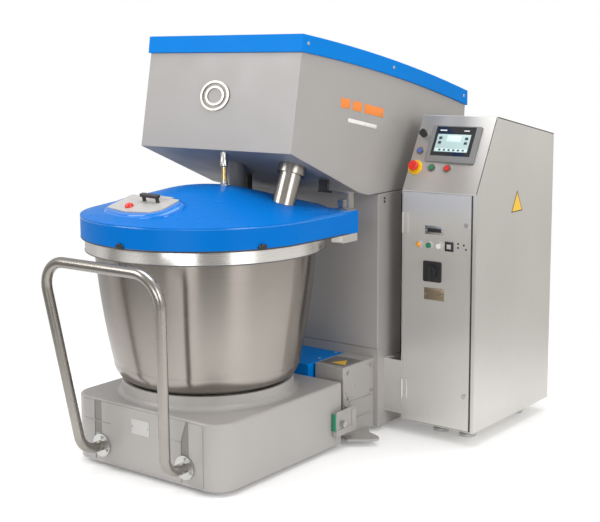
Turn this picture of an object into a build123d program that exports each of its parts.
"""Industrial spiral dough mixer: docked bowl trolley, lifting head and side control cabinet.

Millimetres, +Z up. While modelling, the bowl's axis crosses the floor near x = 0, y = 0, and the
operator stands on the -Y side. At the end everything moves so that the origin is the centre of
the whole machine's footprint, on the floor.
"""
from build123d import *
import math
import os

# ---- driving dimensions -------------------------------------------------------------------
HALF = 375  # half width of the hood, the column and the trolley
SHEET = 4  # painted steel sheet
BOWL_X = -12  # bowl axis, a little left of the machine's centre plane

TROLLEY_Y, TROLLEY_Z = (-377, 354), (20, 266)
ARM_X, ARM_Y, ARM_Z = (214, 356), (390, 604), (22, 311)
COLUMN_Y, COLUMN_Z = (609, 1264), (20, 983)
PANEL_SEAM_Z = 348

BOWL_BASE_Z, BOWL_RIM_Z, RIM_R = 313, 866, 457
BOWL_WALL = 4
LID_R, LID_Z, LID_BACK_Y, LID_SHEET = 472, (869, 953), 338, 4
LID_TOP_Z, LID_TOP_R = 1048, 150

PIVOT_Y, PIVOT_Z = 1225, 1010  # head hinge
HEAD_LIFT_DEG = 38
PIN_R, RUNNING = 14, 0.05

SPIRAL = (BOWL_X, 190)  # spiral axis in plan
SPIRAL_R, SPIRAL_ROD_R, SPIRAL_SHAFT_R, HOUSING_R = 138, 17, 24, 31
MOTOR = (0, 565)
BELT_Z = (1220, 1260)
SPIRAL_PULLEY_R, MOTOR_PULLEY_R = 130, 52

GEAR_MODULE, RING_TEETH, PINION_TEETH = 6, 102, 24
GEAR_Z = (271, 305)

CABINET_X, CABINET_Y, CABINET_Z = (457, 790), (653, 1307), 57
KNEE_Z, SLOPE_TOP, TOP_BACK_Z = 1001, (810, 1290), 1197
DOOR_X, DOOR_Z, DOOR_DEPTH = (460.5, 767.5), (62, 995), 23

WHEEL_R, WHEEL_W, AXLE_R = 50, 34, 8
CASTER = (244, -254)
REAR_WHEEL = (300, 250)
CASTER_TRAIL = 14

os.makedirs("parts", exist_ok=True)
pieces = []


# ---- helpers ------------------------------------------------------------------------------
def keep(builder, name):
    """Label a finished piece and queue it for export."""
    builder.part.label = name
    pieces.append(builder)


def slab(x, y, z, mode=Mode.ADD):
    """A box between a pair of limits on each axis."""
    with Locations((sum(x) / 2, sum(y) / 2, sum(z) / 2)):
        Box(x[1] - x[0], y[1] - y[0], z[1] - z[0], mode=mode)


def plate(plane, points, thickness, mode=Mode.ADD):
    """A flat plate with a polygonal outline drawn on a plane."""
    with BuildSketch(plane) as outline:
        with BuildLine() as edge:
            Polyline(*points, close=True)
        make_face(edge.edges())
    extrude(outline.sketch, amount=thickness, mode=mode)


def disc(plane, radius, height, mode=Mode.ADD, at=(0, 0)):
    """A round bar or bore that starts on a plane and runs along its normal."""
    with BuildSketch(plane) as circle:
        with Locations(at):
            Circle(radius)
    extrude(circle.sketch, amount=height, mode=mode)


def upright(x, y, z):
    """A horizontal plane with its origin at a point."""
    return Plane.XY.offset(z).shift_origin((x, y, z))


def across(x):
    """The side-view plane at a given x: local axes are Y and Z, normal +X."""
    return Plane.YZ.offset(x)


def cabinet_slope(x, s, height=0):
    """Plane on the cabinet's sloping panel: x across, s up the slope from the knee."""
    rise, run = SLOPE_TOP[1] - KNEE_Z, SLOPE_TOP[0] - CABINET_Y[0]
    length = math.hypot(rise, run)
    origin = (x, CABINET_Y[0] + run * s / length, KNEE_Z + rise * s / length)
    return Plane(origin=origin, x_dir=(1, 0, 0), z_dir=(0, -rise, run)).offset(height)


def door_face(x, z, height=0):
    """Plane on the cabinet door's outer face, normal towards the operator."""
    return Plane(origin=(x, CABINET_Y[0] - height, z), x_dir=(1, 0, 0), z_dir=(0, -1, 0))


def underside_z(y):
    """Height of the hood's sloping underside."""
    (y0, z0), (y1, z1) = HOOD_FRONT_LOW, HOOD_BEND
    return z0 + (z1 - z0) * (y - y0) / (y1 - y0)


def gear_outline(teeth, outer, root, turn):
    """Corner points of a straight-flanked gear, first tooth centred at the angle turn."""
    pitch = 2 * math.pi / teeth
    points = []
    for i in range(teeth):
        middle = turn + i * pitch
        for radius, side in ((root, -0.33), (outer, -0.12), (outer, 0.12), (root, 0.33)):
            angle = middle + side * pitch
            points.append((radius * math.cos(angle), radius * math.sin(angle)))
    return points


# ---- hood outline -------------------------------------------------------------------------
HOOD_FRONT_TOP, HOOD_FRONT_LOW = (102, 1547), (33, 1183)
HOOD_BEND, HOOD_FLAT, HOOD_BACK_TOP = (466, 1002), (532, 986), (1288, 1310)
ROOF_MID = (680, 1452)
HINGE_RELIEF = PIVOT_Z - HOOD_FLAT[1]
COVER_BAND, COVER_PROUD = 64, 8


def hood_outline():
    """Side view of the hood below its roof cover."""
    with BuildLine() as edge:
        Line(HOOD_FRONT_TOP, HOOD_FRONT_LOW)
        Line(HOOD_FRONT_LOW, HOOD_BEND)
        Polyline(HOOD_BEND, HOOD_FLAT, (PIVOT_Y, HOOD_FLAT[1]))
        CenterArc((PIVOT_Y, PIVOT_Z), HINGE_RELIEF, 270, 90)
        Polyline((PIVOT_Y + HINGE_RELIEF, PIVOT_Z), (COLUMN_Y[1], PIVOT_Z + 14), HOOD_BACK_TOP)
        ThreePointArc(HOOD_BACK_TOP, ROOF_MID, HOOD_FRONT_TOP)
    make_face(edge.edges())


# ---- floor base and column ----------------------------------------------------------------
FOOT_HOLE = (446, 450)
with BuildPart() as base_arms:
    for side in (1, -1):
        near, far = sorted((side * ARM_X[0], side * ARM_X[1]))
        slab((near, far), ARM_Y, ARM_Z)
    fillet(base_arms.edges().filter_by(Axis.Z).group_by(Axis.Y)[0], 6)
    for side in (1, -1):
        near, far = sorted((side * (ARM_X[0] + 6), side * (ARM_X[1] - 6)))
        slab((near, far), (ARM_Y[0] + 6, ARM_Y[1]), (ARM_Z[0] + 6, ARM_Z[1] - 6), Mode.SUBTRACT)
    # docking foot with a rounded tip, bolted to the floor beside the right arm
    foot = ((ARM_X[1] - 4, 392), (ARM_X[1] + 34, 368), (FOOT_HOLE[0] + 14, FOOT_HOLE[1] - 26),
            (FOOT_HOLE[0] + 30, FOOT_HOLE[1] - 8), (FOOT_HOLE[0] + 30, FOOT_HOLE[1] + 14),
            (FOOT_HOLE[0] + 12, FOOT_HOLE[1] + 30), (404, 500), (ARM_X[1] - 4, 570))
    plate(Plane.XY.offset(ARM_Z[0]), foot, 10)
    disc(upright(*FOOT_HOLE, ARM_Z[0]), 7, 10, Mode.SUBTRACT)
keep(base_arms, "base_arms")

with BuildPart() as tunnel_cover:
    slab((-206, 206), (358, 604), (40, 308))
    fillet(tunnel_cover.edges().filter_by(Axis.Y).group_by(Axis.Z)[-1], 10)
    slab((-202, 202), (362, 604), (40, 304), Mode.SUBTRACT)
    slab((-110, 90), (358, 362), (40, 304), Mode.SUBTRACT)
keep(tunnel_cover, "tunnel_cover")

MACHINE_FEET = [(sx * x, y) for sx in (1, -1) for x, y in ((285, 450), (320, 660), (320, 1210))]
CABINET_FEET = [(x, y) for x in (570, 690) for y in (790, 1200)]
with BuildPart() as levelling_feet:
    for spots, top in ((MACHINE_FEET, 20), (CABINET_FEET, CABINET_Z)):
        for x, y in spots:
            disc(upright(x, y, 0), 34, 12)
            disc(upright(x, y, 12), 10, top - 12)
    for x, y in MACHINE_FEET[::3]:
        disc(upright(x, y, 20), 10, ARM_Z[0] - 20)
keep(levelling_feet, "levelling_feet")

EAR_X, EAR_T, EAR_R = 290, 30, 28
with BuildPart() as column_shell:
    slab((-HALF, HALF), COLUMN_Y, COLUMN_Z)
    slab((-HALF + SHEET, HALF - SHEET), (COLUMN_Y[0] + SHEET, COLUMN_Y[1] - SHEET),
         (COLUMN_Z[0] + 12, COLUMN_Z[1] + 1), Mode.SUBTRACT)
    slab((-330, 330), (COLUMN_Y[0] - 1, COLUMN_Y[0] + SHEET + 1), (380, 940), Mode.SUBTRACT)
    slab((-HALF, HALF), (COLUMN_Y[0] - SHEET, COLUMN_Y[0]), (COLUMN_Z[0], PANEL_SEAM_Z - 2))
    ear = ((COLUMN_Y[1] - SHEET, 820), (COLUMN_Y[1] - SHEET, 975), (PIVOT_Y + EAR_R, PIVOT_Z),
           (PIVOT_Y - EAR_R, PIVOT_Z), (PIVOT_Y - 70, 900))
    for x in (EAR_X, -EAR_X - EAR_T):
        plate(across(x), ear, EAR_T)
        disc(across(x), EAR_R, EAR_T, at=(PIVOT_Y, PIVOT_Z))
        disc(across(x), PIN_R + RUNNING, EAR_T, Mode.SUBTRACT, at=(PIVOT_Y, PIVOT_Z))
keep(column_shell, "column_shell")

with BuildPart() as column_front_panel:
    slab((-HALF + 1, HALF - 1), (COLUMN_Y[0] - SHEET, COLUMN_Y[0]), (PANEL_SEAM_Z, COLUMN_Z[1] - 3))
    fillet(column_front_panel.edges().filter_by(Axis.Z).group_by(Axis.Y)[0], 3)
keep(column_front_panel, "column_front_panel")

with BuildPart() as hinge_pin:
    disc(Plane(origin=(-366, PIVOT_Y, PIVOT_Z), x_dir=(0, 1, 0), z_dir=(1, 0, 0)), PIN_R, 732)
keep(hinge_pin, "hinge_pin")

# The lifting ram stands in the column. Its round rod end stays under the head's sloping pad,
# which lies on a line through the hinge pin and swings through level at mid lift.
RAM_ARM, RAM_GAP, ROD_R = 473, 5, 20
PAD_START = math.radians(HEAD_LIFT_DEG / 2)
RAM_Y = PIVOT_Y - RAM_ARM
ROD_END_Z = PIVOT_Z - RAM_ARM * math.tan(PAD_START) - (ROD_R + RAM_GAP) / math.cos(PAD_START)
BARREL_TOP_Z = 700
with BuildPart() as lift_cylinder:
    disc(upright(0, RAM_Y, COLUMN_Z[0] + 12), 60, 12)
    disc(upright(0, RAM_Y, COLUMN_Z[0] + 24), 33, BARREL_TOP_Z - COLUMN_Z[0] - 24)
    disc(upright(0, RAM_Y, 262), 25, BARREL_TOP_Z - 16 - 262, Mode.SUBTRACT)
    disc(upright(0, RAM_Y, BARREL_TOP_Z - 16), ROD_R + RUNNING, 16, Mode.SUBTRACT)
keep(lift_cylinder, "lift_cylinder")

with BuildPart() as lift_rod:
    disc(upright(0, RAM_Y, 300), 25 - RUNNING, 30)
    disc(upright(0, RAM_Y, 330), ROD_R, ROD_END_Z - 330)
    with Locations((0, RAM_Y, ROD_END_Z)):
        Sphere(ROD_R)
keep(lift_rod, "lift_rod")

with BuildPart() as duct_box:
    slab((HALF, CABINET_X[0]), (653, 760), (81, 303))
    slab((HALF, CABINET_X[0]), (657, 756), (85, 299), Mode.SUBTRACT)
keep(duct_box, "duct_box")

# ---- bowl drive ---------------------------------------------------------------------------
RING_PITCH_R = GEAR_MODULE * RING_TEETH / 2
PINION_PITCH_R = GEAR_MODULE * PINION_TEETH / 2
PINION_Y = RING_PITCH_R + PINION_PITCH_R
PINION_SHAFT_R = 14
with BuildPart() as bowl_gearmotor:
    slab((BOWL_X - 75, BOWL_X + 75), (PINION_Y - 17, 470), (70, 262))
    slab((BOWL_X - 60, BOWL_X + 60), (470, 590), (90, 230))
    fillet(bowl_gearmotor.edges().filter_by(Axis.Y).group_by(Axis.Z)[-1], 8)
    slab((BOWL_X - 50, BOWL_X + 50), (PINION_Y - 10, 590), (40, 70))
    disc(upright(BOWL_X, PINION_Y, 200), PINION_SHAFT_R + 0.3, 62, Mode.SUBTRACT)
keep(bowl_gearmotor, "bowl_gearmotor")

with BuildPart() as bowl_pinion:
    outline = gear_outline(PINION_TEETH, PINION_PITCH_R + 4.5, PINION_PITCH_R - 6.5,
                           -math.pi / 2 + math.pi / PINION_TEETH)
    plate(upright(BOWL_X, PINION_Y, GEAR_Z[0]), outline, GEAR_Z[1] - GEAR_Z[0] - 4)
    disc(upright(BOWL_X, PINION_Y, 205), PINION_SHAFT_R, GEAR_Z[0] - 205)
keep(bowl_pinion, "bowl_pinion")

SPINDLE_R, RELIEF_R = 30, RING_PITCH_R - 22
with BuildPart() as ring_gear:
    outline = gear_outline(RING_TEETH, RING_PITCH_R + 4.5, RING_PITCH_R - 6.5, math.pi / 2)
    plate(upright(BOWL_X, 0, GEAR_Z[0]), outline, GEAR_Z[1] - GEAR_Z[0])
    disc(upright(BOWL_X, 0, GEAR_Z[0]), RELIEF_R, 20, Mode.SUBTRACT)
    disc(upright(BOWL_X, 0, GEAR_Z[0]), SPINDLE_R + 0.3, 60, Mode.SUBTRACT)
    disc(upright(BOWL_X, 0, GEAR_Z[1]), 275, BOWL_BASE_Z - GEAR_Z[1])
    disc(upright(BOWL_X, 0, GEAR_Z[1]), 240, BOWL_BASE_Z - GEAR_Z[1], Mode.SUBTRACT)
keep(ring_gear, "ring_gear")

# ---- bowl ---------------------------------------------------------------------------------
BASE_FLAT_R, KNUCKLE, KNEE = 278, (336, 334), (362, 390)
WALL_MID, WALL_TOP = (400, 610), (427, BOWL_RIM_Z)


def bowl_profile(inset):
    """Half section of the bowl's outside, or of its inside when inset by the wall."""
    top = (WALL_TOP[0] - inset, WALL_TOP[1] + inset)
    with BuildLine() as edge:
        Line((0, BOWL_BASE_Z + inset), (BASE_FLAT_R, BOWL_BASE_Z + inset))
        ThreePointArc((BASE_FLAT_R, BOWL_BASE_Z + inset), (KNUCKLE[0] - inset * 0.8, KNUCKLE[1] + inset * 0.6),
                      (KNEE[0] - inset, KNEE[1]))
        ThreePointArc((KNEE[0] - inset, KNEE[1]), (WALL_MID[0] - inset, WALL_MID[1]), top)
        Polyline(top, (0, top[1]), (0, BOWL_BASE_Z + inset))
    make_face(edge.edges())


with BuildPart() as bowl:
    with BuildSketch(Plane.XZ):
        bowl_profile(0)
    revolve(axis=Axis.Z)
    with BuildSketch(Plane.XZ):
        bowl_profile(BOWL_WALL)
    revolve(axis=Axis.Z, mode=Mode.SUBTRACT)
    with BuildSketch(Plane.XY.offset(BOWL_RIM_Z - BOWL_WALL)):
        Circle(RIM_R - SHEET)
        Circle(WALL_TOP[0] - BOWL_WALL + 1, mode=Mode.SUBTRACT)
    extrude(amount=BOWL_WALL)
bowl.part.move(Location((BOWL_X, 0, 0)))
keep(bowl, "bowl")

with BuildPart() as bowl_rim_band:
    disc(upright(BOWL_X, 0, 818), RIM_R, BOWL_RIM_Z - 818)
    fillet(bowl_rim_band.edges().group_by(Axis.Z)[-1], 2)
    disc(upright(BOWL_X, 0, 822), RIM_R - SHEET, BOWL_RIM_Z - 822, Mode.SUBTRACT)
    disc(upright(BOWL_X, 0, 818), WALL_TOP[0] + 1, SHEET, Mode.SUBTRACT)
keep(bowl_rim_band, "bowl_rim_band")

# ---- trolley ------------------------------------------------------------------------------
BOLT_Y, BOLT_Z = 320, 110
COLLAR_R, COLLAR_TOP = 331, 317
with BuildPart() as trolley_body:
    slab((-HALF, HALF), TROLLEY_Y, TROLLEY_Z)
    fillet(trolley_body.edges().filter_by(Axis.Z).group_by(Axis.Y)[0], 80)
    fillet(trolley_body.edges().filter_by(Axis.Z).group_by(Axis.Y)[-1], 12)
    fillet(trolley_body.edges().group_by(Axis.Z)[-1], 10)
    slab((-HALF + 8, HALF - 8), (-300, TROLLEY_Y[1] - 8), (TROLLEY_Z[0], TROLLEY_Z[1] - 10), Mode.SUBTRACT)
    slab((-300, 300), (TROLLEY_Y[0] + 14, -299), (TROLLEY_Z[0], TROLLEY_Z[1] - 10), Mode.SUBTRACT)
    for side in (1, -1):
        low, high = sorted((side * 262, side * 282))
        slab((low, high), (TROLLEY_Y[0], TROLLEY_Y[0] + 6), (100, 236), Mode.SUBTRACT)
        # swivel caster socket
        with Locations((side * CASTER[0], CASTER[1], 221)):
            Box(70, 70, 72)
        disc(upright(side * CASTER[0], CASTER[1], 180), 12 + 0.3, 60, Mode.SUBTRACT)
        # fixed rear wheel cheeks and their axle
        for cheek in (-1, 1):
            x = side * REAR_WHEEL[0] + cheek * (WHEEL_W / 2 + 8)
            slab((x - 4, x + 4), (REAR_WHEEL[1] - 30, REAR_WHEEL[1] + 30), (32, TROLLEY_Z[1] - 9))
        x = side * REAR_WHEEL[0]
        disc(across(x - 26), AXLE_R, 52, at=(REAR_WHEEL[1], WHEEL_R))
    disc(upright(BOWL_X, 0, TROLLEY_Z[1] - 10), SPINDLE_R, 50)
    with BuildSketch(upright(BOWL_X, 0, TROLLEY_Z[1])):
        Circle(RELIEF_R - 2)
        Circle(RELIEF_R - 32, mode=Mode.SUBTRACT)
    extrude(amount=GEAR_Z[0] - TROLLEY_Z[1] + 19)
    # fixed collar round the ring gear, open at the back where the pinion meshes
    with BuildSketch(Plane(origin=(BOWL_X, 0, 0), x_dir=(1, 0, 0), z_dir=(0, -1, 0))) as collar:
        with BuildLine() as edge:
            Polyline((COLLAR_R + 20, TROLLEY_Z[1] - 2), (COLLAR_R - 13, TROLLEY_Z[1] - 2), (COLLAR_R - 13, COLLAR_TOP),
                     (COLLAR_R, COLLAR_TOP), (COLLAR_R + 3, TROLLEY_Z[1] + 22))
            ThreePointArc((COLLAR_R + 3, TROLLEY_Z[1] + 22), (COLLAR_R + 8, TROLLEY_Z[1] + 8),
                          (COLLAR_R + 20, TROLLEY_Z[1] + 1))
            Line((COLLAR_R + 20, TROLLEY_Z[1] + 1), (COLLAR_R + 20, TROLLEY_Z[1] - 2))
        make_face(edge.edges())
    revolve(collar.sketch, axis=Axis((BOWL_X, 0, 0), (0, 0, 1)))
    slab((BOWL_X - 105, BOWL_X + 105), (RELIEF_R + 6, 420), (TROLLEY_Z[1], 330), Mode.SUBTRACT)
    disc(across(HALF - 10), 8.5, 12, Mode.SUBTRACT, at=(BOLT_Y, BOLT_Z))
keep(trolley_body, "trolley_body")

for name, x, y in (
    ("front_wheel_left", -CASTER[0], CASTER[1] + CASTER_TRAIL),
    ("front_wheel_right", CASTER[0], CASTER[1] + CASTER_TRAIL),
    ("rear_wheel_left", -REAR_WHEEL[0], REAR_WHEEL[1]),
    ("rear_wheel_right", REAR_WHEEL[0], REAR_WHEEL[1]),
):
    with BuildPart() as wheel:
        disc(across(x - WHEEL_W / 2), WHEEL_R, WHEEL_W, at=(y, WHEEL_R))
        chamfer(wheel.edges().filter_by(GeomType.CIRCLE), 4)
        disc(across(x - WHEEL_W / 2), AXLE_R + 0.3, WHEEL_W, Mode.SUBTRACT, at=(y, WHEEL_R))
    keep(wheel, name)

for name, side in (("caster_fork_left", -1), ("caster_fork_right", 1)):
    x = side * CASTER[0]
    wheel_y = CASTER[1] + CASTER_TRAIL
    with BuildPart() as fork:
        slab((x - 30, x + 30), (CASTER[1] - 24, wheel_y + 16), (108, 118))
        disc(upright(x, CASTER[1], 118), 34, 66)
        disc(upright(x, CASTER[1], 184), 12, 50)
        for cheek in (-1, 1):
            middle = x + cheek * (WHEEL_W / 2 + 7)
            slab((middle - 4, middle + 4), (wheel_y - 16, wheel_y + 16), (32, 110))
        disc(across(x - 26), AXLE_R, 52, at=(wheel_y, WHEEL_R))
    keep(fork, name)

HANDLE_X, HANDLE_Z, HANDLE_TUBE_R = 210, 90, 19.5
FLANGE_T, FLANGE_R = 12, 44
with BuildPart() as handle_flanges:
    for side in (1, -1):
        face = Plane(origin=(side * HANDLE_X, TROLLEY_Y[0], HANDLE_Z), x_dir=(1, 0, 0), z_dir=(0, -1, 0))
        disc(face, FLANGE_R, FLANGE_T)
keep(handle_flanges, "handle_flanges")

with BuildPart() as push_handle:
    with BuildLine():
        right = [(HANDLE_X, TROLLEY_Y[0] - FLANGE_T, HANDLE_Z), (HANDLE_X, -484, HANDLE_Z), (293, -578, 818)]
        left = [(-x, y, z) for x, y, z in reversed(right)]
        route = FilletPolyline(*right, *left, radius=[72, 105, 105, 72])
    with BuildSketch(Plane(origin=route @ 0, z_dir=route % 0)):
        Circle(HANDLE_TUBE_R)
    sweep()
keep(push_handle, "push_handle")

with BuildPart() as machine_bolts:
    for side in (1, -1):
        for turn in (90, 210, 330):
            angle = math.radians(turn)
            face = Plane(origin=(side * HANDLE_X + 32 * math.cos(angle), TROLLEY_Y[0] - FLANGE_T,
                                 HANDLE_Z + 32 * math.sin(angle)), x_dir=(1, 0, 0), z_dir=(0, -1, 0))
            disc(face, 6, 6)
    for y in (420, 580):
        for z in (180, 285):
            disc(across(ARM_X[1]), 7, 6, at=(y, z))
keep(machine_bolts, "machine_bolts")

with BuildPart() as latch_box:
    slab((HALF + 2, HALF + 20), (285, 420), (62, 155))
    slab((ARM_X[1], HALF + 3), (ARM_Y[0] + 4, 420), (62, 155))
    disc(across(HALF), 8.3, 25, Mode.SUBTRACT, at=(BOLT_Y, BOLT_Z))
keep(latch_box, "latch_box")

with BuildPart() as dock_bolt:
    disc(across(HALF - 9), 8, 34, at=(BOLT_Y, BOLT_Z))
    disc(across(HALF + 24), 13, 14, at=(BOLT_Y, BOLT_Z))
keep(dock_bolt, "dock_bolt")

# ---- lifting head -------------------------------------------------------------------------
with BuildPart() as hood_shell:
    with BuildSketch(across(-HALF)):
        hood_outline()
    extrude(amount=2 * HALF)
    lean = (HOOD_FRONT_TOP[0] - HOOD_FRONT_LOW[0]) / (HOOD_FRONT_TOP[1] - HOOD_FRONT_LOW[1])
    cavity = (
        (HOOD_FRONT_LOW[0] + SHEET - 200 * lean, HOOD_FRONT_LOW[1] - 200),
        (HOOD_FRONT_TOP[0] + SHEET + 100 * lean, HOOD_FRONT_TOP[1] + 100),
        (HOOD_BACK_TOP[0] + 6, HOOD_FRONT_TOP[1] + 100),
        (HOOD_BACK_TOP[0] - SHEET, HOOD_BACK_TOP[1]),
        (COLUMN_Y[1] - SHEET, PIVOT_Z + 14),
        (COLUMN_Y[1] - SHEET, 900),
    )
    plate(across(-HALF + SHEET), cavity, 2 * (HALF - SHEET), Mode.SUBTRACT)
keep(hood_shell, "hood_shell")

with BuildPart() as roof_cover:
    with BuildSketch(across(-HALF - COVER_PROUD)):
        with BuildLine():
            front, back = HOOD_FRONT_TOP[0] - COVER_PROUD, HOOD_BACK_TOP[0] + COVER_PROUD
            low_front, low_back = (front, HOOD_FRONT_TOP[1] + 1.2), (back, HOOD_BACK_TOP[1] - 2)
            mid_top = (ROOF_MID[0], ROOF_MID[1] + COVER_BAND)
            Polyline(low_front, (front + 10, low_front[1] + COVER_BAND))
            ThreePointArc((front + 10, low_front[1] + COVER_BAND), mid_top, (back, low_back[1] + COVER_BAND))
            Line((back, low_back[1] + COVER_BAND), low_back)
            ThreePointArc(low_back, ROOF_MID, low_front)
        make_face()
    extrude(amount=2 * (HALF + COVER_PROUD))
    with BuildSketch(across(-HALF + 3)):
        with BuildLine():
            front, back = HOOD_FRONT_TOP[0] + 4, HOOD_BACK_TOP[0] - 4
            drop = COVER_BAND - SHEET
            Polyline((front, HOOD_FRONT_TOP[1] - 40), (front, HOOD_FRONT_TOP[1] + drop))
            ThreePointArc((front, HOOD_FRONT_TOP[1] + drop), (ROOF_MID[0], ROOF_MID[1] + drop),
                          (back, HOOD_BACK_TOP[1] + drop))
            Polyline((back, HOOD_BACK_TOP[1] + drop), (back, HOOD_BACK_TOP[1] - 40),
                     (front, HOOD_FRONT_TOP[1] - 40))
        make_face()
    extrude(amount=2 * (HALF - 3), mode=Mode.SUBTRACT)
    fillet(roof_cover.edges().filter_by(GeomType.CIRCLE).group_by(Axis.Z)[-1], 3)
keep(roof_cover, "roof_cover")

# feed pipe: square to the sloping underside, aimed down and forward into the lid
PIPE_X, PIPE_Y, PIPE_R = 276, 172, 43
slope = math.atan2(HOOD_FRONT_LOW[1] - HOOD_BEND[1], HOOD_BEND[0] - HOOD_FRONT_LOW[0])
pipe_mouth = Plane(origin=(PIPE_X, PIPE_Y, underside_z(PIPE_Y)), x_dir=(1, 0, 0),
                   z_dir=(0, -math.sin(slope), -math.cos(slope)))
PROBE_X, PROBE_Y, PROBE_R = 28, 66, 9

with BuildPart() as underside_panel:
    inner = [(y, z + 0.5) for y, z in (HOOD_FRONT_LOW, HOOD_BEND, HOOD_FLAT, (628, HOOD_FLAT[1]))]
    inner[0] = (inner[0][0] + SHEET + 1.5, underside_z(HOOD_FRONT_LOW[0] + SHEET + 1.5) + 0.5)
    lifted = [(y, z + SHEET) for y, z in reversed(inner)]
    plate(across(-HALF + SHEET), inner + lifted, 2 * (HALF - SHEET))
    disc(upright(*SPIRAL, 1000), HOUSING_R + 2, 250, Mode.SUBTRACT)
    disc(upright(PROBE_X, PROBE_Y, 1000), PROBE_R + 2, 250, Mode.SUBTRACT)
keep(underside_panel, "underside_panel")

RAIL_X, RAIL_T, DECK_Z = 335, 15, (1180, 1195)
with BuildPart() as head_frame:
    rail = ((112, 1176), (112, 1290), (PIVOT_Y, 1240), (PIVOT_Y + 24, PIVOT_Z), (PIVOT_Y, PIVOT_Z - 16),
            (560, 1000), (466, 1030))
    for x in (RAIL_X, -RAIL_X - RAIL_T):
        plate(across(x), rail, RAIL_T)
        disc(across(x), PIN_R + RUNNING, RAIL_T, Mode.SUBTRACT, at=(PIVOT_Y, PIVOT_Z))
    slab((-RAIL_X, RAIL_X), (112, 690), DECK_Z)
    slab((-RAIL_X, RAIL_X), (690, 800), (1060, 1195))
    # the leg whose slanted sole the lifting ram pushes
    pad = [(y, PIVOT_Z - (PIVOT_Y - y) * math.tan(PAD_START)) for y in (700, 800)]
    plate(across(-50), [(700, 1060), (800, 1060), pad[1], pad[0]], 100)
    disc(upright(*SPIRAL, DECK_Z[0]), HOUSING_R + 0.1, 15, Mode.SUBTRACT)
    disc(upright(*MOTOR, DECK_Z[0]), 20, 15, Mode.SUBTRACT)
    disc(upright(PROBE_X, PROBE_Y, 1170), PROBE_R + 1, 40, Mode.SUBTRACT)
    # ties from the rails out to the hood's sides
    for y, z in ((200, 1250), (700, 1200), (1100, 1150)):
        for x in (RAIL_X + RAIL_T, -HALF + SHEET):
            slab((x, x + HALF - SHEET - RAIL_X - RAIL_T), (y - 20, y + 20), (z - 20, z + 20))
keep(head_frame, "head_frame")

with BuildPart() as spiral_motor:
    disc(upright(*MOTOR, 1020), 88, DECK_Z[0] - 1020)
    for i in range(20):
        angle = math.radians(18 * i)
        middle = (MOTOR[0] + 90 * math.cos(angle), MOTOR[1] + 90 * math.sin(angle))
        disc(upright(*middle, 1032), 3, 120)
keep(spiral_motor, "spiral_motor")

with BuildPart() as spiral_housing:
    disc(upright(*SPIRAL, 960), HOUSING_R, DECK_Z[1] - 960)
    disc(upright(*SPIRAL, DECK_Z[1]), 85, 12)
    disc(upright(*SPIRAL, 960), SPIRAL_SHAFT_R + 0.3, 300, Mode.SUBTRACT)
keep(spiral_housing, "spiral_housing")

with BuildPart() as breaker_bar:
    disc(upright(*SPIRAL, 962), 62, 22)
    slab((BOWL_X - 24, BOWL_X + 24), (0, SPIRAL[1]), (962, 984))
    disc(upright(*SPIRAL, 950), HOUSING_R + RUNNING, 40, Mode.SUBTRACT)
    disc(upright(BOWL_X, 0, 350), 24, 634)
    fillet(breaker_bar.edges().group_by(Axis.Z)[0], 10)
keep(breaker_bar, "breaker_bar")

with BuildPart() as feed_pipe:
    disc(pipe_mouth, PIPE_R + 9, 34)
    disc(pipe_mouth, PIPE_R, 165)
    disc(pipe_mouth, PIPE_R - 3, 170, Mode.SUBTRACT)
keep(feed_pipe, "feed_pipe")

with BuildPart() as temperature_probe:
    disc(upright(PROBE_X, PROBE_Y, 905), PROBE_R, DECK_Z[0] - 905)
    disc(upright(PROBE_X, PROBE_Y, DECK_Z[0]), PROBE_R, 26)
keep(temperature_probe, "temperature_probe")

# ---- lid ----------------------------------------------------------------------------------
CONE_SLOPE = (LID_TOP_Z - 12 - LID_Z[1]) / (LID_R - LID_TOP_R)
HATCH_ANGLE, HATCH_DIST = math.radians(-98), 290
hatch_tangent = Vector(-math.sin(HATCH_ANGLE), math.cos(HATCH_ANGLE), 0)
hatch_normal = Vector(math.cos(HATCH_ANGLE) * CONE_SLOPE, math.sin(HATCH_ANGLE) * CONE_SLOPE, 1)
hatch_plane = Plane(
    origin=(BOWL_X + HATCH_DIST * math.cos(HATCH_ANGLE), HATCH_DIST * math.sin(HATCH_ANGLE),
            LID_Z[1] + CONE_SLOPE * (LID_R - HATCH_DIST) + 2),
    x_dir=hatch_tangent, z_dir=hatch_normal)
HATCH_OUTLINE = ((-150, 60), (125, 68), (142, -34), (112, -68), (-5, -88), (-130, -74))
HATCH_T, HATCH_HINGE = 6, (72, 6)


def lid_solid(inset, bottom):
    """The lid's outer solid, or its inside when inset by the sheet."""
    radius, shoulder = LID_R - inset, LID_Z[1] - inset
    with BuildSketch(Plane.XY.offset(bottom)) as footprint:
        Circle(radius)
        with Locations((0, LID_BACK_Y / 2)):
            Rectangle(2 * radius, LID_BACK_Y - 2 * inset)
    extrude(footprint.sketch, amount=shoulder - bottom)
    with BuildSketch(Plane.XZ) as section:
        with BuildLine() as edge:
            Line((0, shoulder - 20), (radius - inset, shoulder - 20))
            Line((radius - inset, shoulder - 20), (radius - inset, shoulder))
            Line((radius - inset, shoulder), (LID_TOP_R, LID_TOP_Z - 12 - inset))
            ThreePointArc((LID_TOP_R, LID_TOP_Z - 12 - inset), (80, LID_TOP_Z - 1 - inset),
                          (0, LID_TOP_Z - inset))
            Line((0, LID_TOP_Z - inset), (0, shoulder - 20))
        make_face(edge.edges())
    revolve(section.sketch, axis=Axis.Z)


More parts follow.
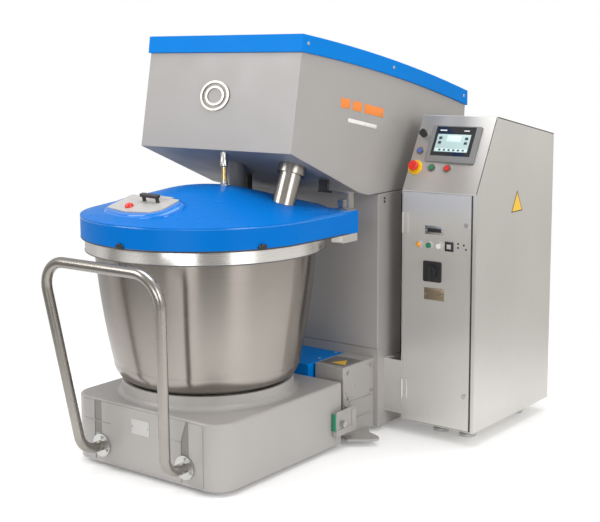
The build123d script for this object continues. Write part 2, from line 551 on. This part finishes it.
with BuildPart() as lid_hollow:
    lid_solid(LID_SHEET, LID_Z[0] - 5)
with BuildPart() as lid_shell:
    lid_solid(0, LID_Z[0])
    add(lid_hollow.part, mode=Mode.SUBTRACT)
lid_shell.part.move(Location((BOWL_X, 0, 0)))
with BuildPart() as lid_cutters:
    disc(upright(*SPIRAL, 900), HOUSING_R + 2, 200)
    disc(upright(PROBE_X, PROBE_Y, 900), PROBE_R + 2, 200)
    disc(pipe_mouth, PIPE_R + 1.5, 260)
    with BuildSketch(hatch_plane.offset(-40)):
        RectangleRounded(200, 96, 20)
    extrude(amount=80)
with BuildPart() as lid_finished:
    add(lid_shell.part)
    add(lid_cutters.part, mode=Mode.SUBTRACT)
keep(lid_finished, "lid_shell")

with BuildPart() as lid_hatch:
    plate(hatch_plane.offset(1), HATCH_OUTLINE, HATCH_T)
    fillet(lid_hatch.edges().filter_by(Axis((0, 0, 0), hatch_plane.z_dir)), 12)
    barrel = Plane(origin=hatch_plane.from_local_coords((-90, *HATCH_HINGE)), z_dir=hatch_tangent)
    disc(barrel, 4.5, 170)
    with BuildSketch(hatch_plane.offset(HATCH_HINGE[1])) as leaf:
        with Locations((-5, HATCH_HINGE[0] - 8)):
            Rectangle(160, 16)
    extrude(leaf.sketch, amount=2)
keep(lid_hatch, "lid_hatch")

with BuildPart() as hatch_handle:
    top = 1 + HATCH_T
    with BuildSketch(hatch_plane.offset(top)):
        with Locations((-22, 20), (56, 20)):
            Circle(7)
    extrude(amount=20)
    with BuildSketch(hatch_plane.offset(top + 18)):
        with Locations((17, 20)):
            RectangleRounded(104, 20, 7)
    extrude(amount=10)
    disc(hatch_plane.offset(top), 13, 8, at=(-30, -46))
keep(hatch_handle, "hatch_handle")

with BuildPart() as lid_bracket:
    corner = BOWL_X + LID_R
    slab((corner - 26, corner - 18), (300, 332), (LID_Z[1], 1022))
    slab((corner - 60, corner - 6), (292, 334), (LID_Z[1], LID_Z[1] + 7))
    slab((296, corner - 18), (303, 330), (1016, 1022))
    slab((corner - 68, corner - 46), (300, 326), (LID_Z[1] + 7, LID_Z[1] + 38))
    slab((296, 336), (308, 322), (1022, underside_z(322)))
    # hidden middle hanger between the underside and the lid's cone
    slab((-100, -50), (300, 330), (LID_Z[1] + CONE_SLOPE * (LID_R - 300), underside_z(330)))
keep(lid_bracket, "lid_bracket")

with BuildPart() as lid_support_box:
    slab((408, BOWL_X + LID_R - 2), (236, 334), (838, LID_Z[0]))
    fillet(lid_support_box.edges().filter_by(Axis.X).group_by(Axis.Z)[0], 5)
keep(lid_support_box, "lid_support_box")

# ---- drive of the spiral ------------------------------------------------------------------
with BuildPart() as spiral_pulley:
    disc(upright(*SPIRAL, BELT_Z[0] - 4), SPIRAL_PULLEY_R + 7, 3)
    disc(upright(*SPIRAL, BELT_Z[0] - 1), SPIRAL_PULLEY_R, BELT_Z[1] - BELT_Z[0] + 2)
    disc(upright(*SPIRAL, BELT_Z[1] + 1), SPIRAL_PULLEY_R + 7, 3)
    disc(upright(*SPIRAL, BELT_Z[0] - 4), SPIRAL_SHAFT_R + RUNNING, 60, Mode.SUBTRACT)
    for i in range(6):
        angle = math.radians(60 * i)
        hole = (SPIRAL[0] + 82 * math.cos(angle), SPIRAL[1] + 82 * math.sin(angle))
        disc(upright(*hole, BELT_Z[0] - 4), 26, 60, Mode.SUBTRACT)
keep(spiral_pulley, "spiral_pulley")

with BuildPart() as motor_pulley:
    disc(upright(*MOTOR, DECK_Z[0] + 0.5), 15, BELT_Z[1] - DECK_Z[0])
    disc(upright(*MOTOR, BELT_Z[0] - 4), MOTOR_PULLEY_R + 6, 3)
    disc(upright(*MOTOR, BELT_Z[0] - 1), MOTOR_PULLEY_R, BELT_Z[1] - BELT_Z[0] + 2)
    disc(upright(*MOTOR, BELT_Z[1] + 1), MOTOR_PULLEY_R + 6, 3)
keep(motor_pulley, "motor_pulley")

with BuildPart() as drive_belt:
    for gap, mode in ((8, Mode.ADD), (0.6, Mode.SUBTRACT)):
        with BuildSketch(Plane.XY.offset(BELT_Z[0] + 1)):
            with Locations(SPIRAL):
                Circle(SPIRAL_PULLEY_R + gap)
            with Locations(MOTOR):
                Circle(MOTOR_PULLEY_R + gap)
            make_hull()
        extrude(amount=BELT_Z[1] - BELT_Z[0] - 2, mode=mode)
keep(drive_belt, "drive_belt")

HELIX_R, HELIX_Z, HELIX_TURNS = SPIRAL_R - SPIRAL_ROD_R, (362, 720), 1.25
with BuildPart() as spiral_tool:
    with BuildLine():
        helix = Helix(pitch=(HELIX_Z[1] - HELIX_Z[0]) / HELIX_TURNS, height=HELIX_Z[1] - HELIX_Z[0], radius=HELIX_R)
    with BuildSketch(Plane(origin=helix @ 0, z_dir=helix % 0)):
        Circle(SPIRAL_ROD_R)
    sweep(is_frenet=True)
    end = helix @ 1
    for tip in (helix @ 0, end):
        with Locations(tip):
            Sphere(SPIRAL_ROD_R + 0.4)
    disc(Plane(origin=(0, 0, end.Z), z_dir=(end.X, end.Y, 0)), SPIRAL_ROD_R + 0.8, HELIX_R)
    disc(Plane.XY.offset(end.Z - 30), SPIRAL_SHAFT_R, BELT_Z[1] + 12 - HELIX_Z[0] - (end.Z - 30))
spiral_tool.part.move(Location((SPIRAL[0], SPIRAL[1], HELIX_Z[0])))
keep(spiral_tool, "spiral_tool")

# ---- control cabinet ----------------------------------------------------------------------
PANEL_HOLE_R, CAP_R, BEZEL_R = 11, 10.4, 16
HMI_X, HMI_S = (524, 742), (125, 281)
SCREEN_X, SCREEN_S = (541, 718), (151, 277)
SLOPE_CONTROLS = {"start_button": (563, 100), "stop_button": (633, 100), "reset_button": (490, 170)}
SPEED_KNOB, ESTOP = (488, 243), (488, 98)
DOOR_BUTTONS = {"door_button_green": (582, 789), "door_button_white": (627, 789)}
LAMP, MAINS = (535, 789), (599, 685)
DOOR_PIVOT = (462, 649.5)


def cabinet_profile(inset):
    """Side view of the cabinet, inset by a sheet's thickness all round."""
    return [
        (CABINET_Y[0] + inset, CABINET_Z + inset),
        (CABINET_Y[0] + inset, KNEE_Z - inset * 0.3),
        (SLOPE_TOP[0] + inset * 0.6, SLOPE_TOP[1] - inset * 1.3),
        (CABINET_Y[1] - inset, TOP_BACK_Z - inset),
        (CABINET_Y[1] - inset, CABINET_Z + inset),
    ]


with BuildPart() as cabinet_shell:
    plate(across(CABINET_X[0]), cabinet_profile(0), CABINET_X[1] - CABINET_X[0])
    plate(across(CABINET_X[0] + 3), cabinet_profile(3), CABINET_X[1] - CABINET_X[0] - 6, Mode.SUBTRACT)
    # front frame that the door shuts on, and the doorway through it
    slab((CABINET_X[0], CABINET_X[1]), (CABINET_Y[0], CABINET_Y[0] + 30), (CABINET_Z, DOOR_Z[1] + 2))
    slab((CABINET_X[0] + 3, DOOR_X[1] + 4), (CABINET_Y[0] - 1, CABINET_Y[0] + 26), (DOOR_Z[0] - 2, DOOR_Z[1] + 1),
         Mode.SUBTRACT)
    slab((478, 752), (CABINET_Y[0], CABINET_Y[0] + 40), (84, 974), Mode.SUBTRACT)
    for x, s in (*SLOPE_CONTROLS.values(), SPEED_KNOB, ESTOP):
        disc(cabinet_slope(x, s, -20), PANEL_HOLE_R, 40, Mode.SUBTRACT)
keep(cabinet_shell, "cabinet_shell")

with BuildPart() as hmi_frame:
    for xs, ss, height, mode in (
        (HMI_X, HMI_S, 9, Mode.ADD),
        (SCREEN_X, SCREEN_S, 9, Mode.SUBTRACT),
    ):
        start = 0 if mode is Mode.ADD else 5
        with BuildSketch(cabinet_slope(sum(xs) / 2, sum(ss) / 2, start)):
            RectangleRounded(xs[1] - xs[0], ss[1] - ss[0], 6 if mode is Mode.ADD else 2)
        extrude(amount=height, mode=mode)
keep(hmi_frame, "hmi_frame")

with BuildPart() as hmi_screen:
    with BuildSketch(cabinet_slope(sum(SCREEN_X) / 2, sum(SCREEN_S) / 2, 5)):
        RectangleRounded(SCREEN_X[1] - SCREEN_X[0] - 0.4, SCREEN_S[1] - SCREEN_S[0] - 0.4, 2)
    extrude(amount=2.5)
keep(hmi_screen, "hmi_screen")

with BuildPart() as estop_collar:
    with BuildSketch(cabinet_slope(*ESTOP)):
        Circle(31)
        Circle(PANEL_HOLE_R, mode=Mode.SUBTRACT)
    extrude(amount=7)
    chamfer(estop_collar.edges().filter_by(GeomType.CIRCLE).sort_by(SortBy.RADIUS)[-2:], 1.5)
keep(estop_collar, "estop_collar")

with BuildPart() as button_bezels:
    for x, s in (*SLOPE_CONTROLS.values(), SPEED_KNOB):
        with BuildSketch(cabinet_slope(x, s)):
            Circle(BEZEL_R)
            Circle(PANEL_HOLE_R, mode=Mode.SUBTRACT)
        extrude(amount=6)
keep(button_bezels, "button_bezels")

with BuildPart() as estop_button:
    disc(cabinet_slope(*ESTOP, -12), CAP_R, 30)
    disc(cabinet_slope(*ESTOP, 15), 20, 14)
    chamfer(estop_button.edges().filter_by(GeomType.CIRCLE).group_by(Axis.Y)[0], 2)
keep(estop_button, "estop_button")

for name, (x, s) in SLOPE_CONTROLS.items():
    with BuildPart() as button:
        disc(cabinet_slope(x, s, -10), CAP_R, 20)
    keep(button, name)

with BuildPart() as speed_knob:
    disc(cabinet_slope(*SPEED_KNOB, -10), CAP_R, 17)
    disc(cabinet_slope(*SPEED_KNOB, 6.6), 15, 16)
    with BuildSketch(cabinet_slope(*SPEED_KNOB, 22)):
        RectangleRounded(7, 28, 2)
    extrude(amount=5)
keep(speed_knob, "speed_knob")

with BuildPart() as cabinet_door:
    slab(DOOR_X, (CABINET_Y[0], CABINET_Y[0] + DOOR_DEPTH), DOOR_Z)
    fillet(cabinet_door.edges().filter_by(Axis.Z).group_by(Axis.Y)[0], 2)
    slab((DOOR_X[0] + 3, DOOR_X[1] - 3), (CABINET_Y[0] + 3, CABINET_Y[0] + DOOR_DEPTH),
         (DOOR_Z[0] + 3, DOOR_Z[1] - 3), Mode.SUBTRACT)
    for x, z in (*DOOR_BUTTONS.values(), LAMP):
        disc(door_face(x, z, -0.5), BEZEL_R, 5)
    for x, z in (*DOOR_BUTTONS.values(), LAMP, MAINS):
        disc(door_face(x, z, -20), PANEL_HOLE_R, 40, Mode.SUBTRACT)
    for z in (150, 830):
        disc(upright(*DOOR_PIVOT, z), 3.9, 80)
        slab((DOOR_PIVOT[0], DOOR_PIVOT[0] + 22), (DOOR_PIVOT[1] - 1, CABINET_Y[0]), (z, z + 80))
keep(cabinet_door, "cabinet_door")

with BuildPart() as mains_plate:
    with BuildSketch(door_face(*MAINS)):
        RectangleRounded(82, 82, 6)
        Circle(PANEL_HOLE_R, mode=Mode.SUBTRACT)
    extrude(amount=5)
keep(mains_plate, "mains_plate")

with BuildPart() as mains_knob:
    disc(door_face(*MAINS, -8), CAP_R, 16)
    disc(door_face(*MAINS, 5.6), 24, 12)
    with BuildSketch(door_face(*MAINS, 17)):
        RectangleRounded(14, 50, 5)
    extrude(amount=12)
keep(mains_knob, "mains_knob")

with BuildPart() as pilot_lamp:
    disc(door_face(*LAMP, -8), CAP_R, 16)
    fillet(pilot_lamp.edges().group_by(Axis.Y)[0], 4)
keep(pilot_lamp, "pilot_lamp")

for name, (x, z) in DOOR_BUTTONS.items():
    with BuildPart() as button:
        disc(door_face(x, z, -10), CAP_R, 19)
    keep(button, name)

# ---- move to the footprint's centre and write ---------------------------------------------
boxes = [piece.part.bounding_box() for piece in pieces]
middle_x = (min(b.min.X for b in boxes) + max(b.max.X for b in boxes)) / 2
middle_y = (min(b.min.Y for b in boxes) + max(b.max.Y for b in boxes)) / 2
print("footprint centre", middle_x, middle_y, "lowest", min(b.min.Z for b in boxes))
for piece in pieces:
    piece.part.move(Location((-middle_x, -middle_y, 0)))
    export_step(piece.part, f"parts/{piece.part.label}.step")
print(len(pieces), "pieces")
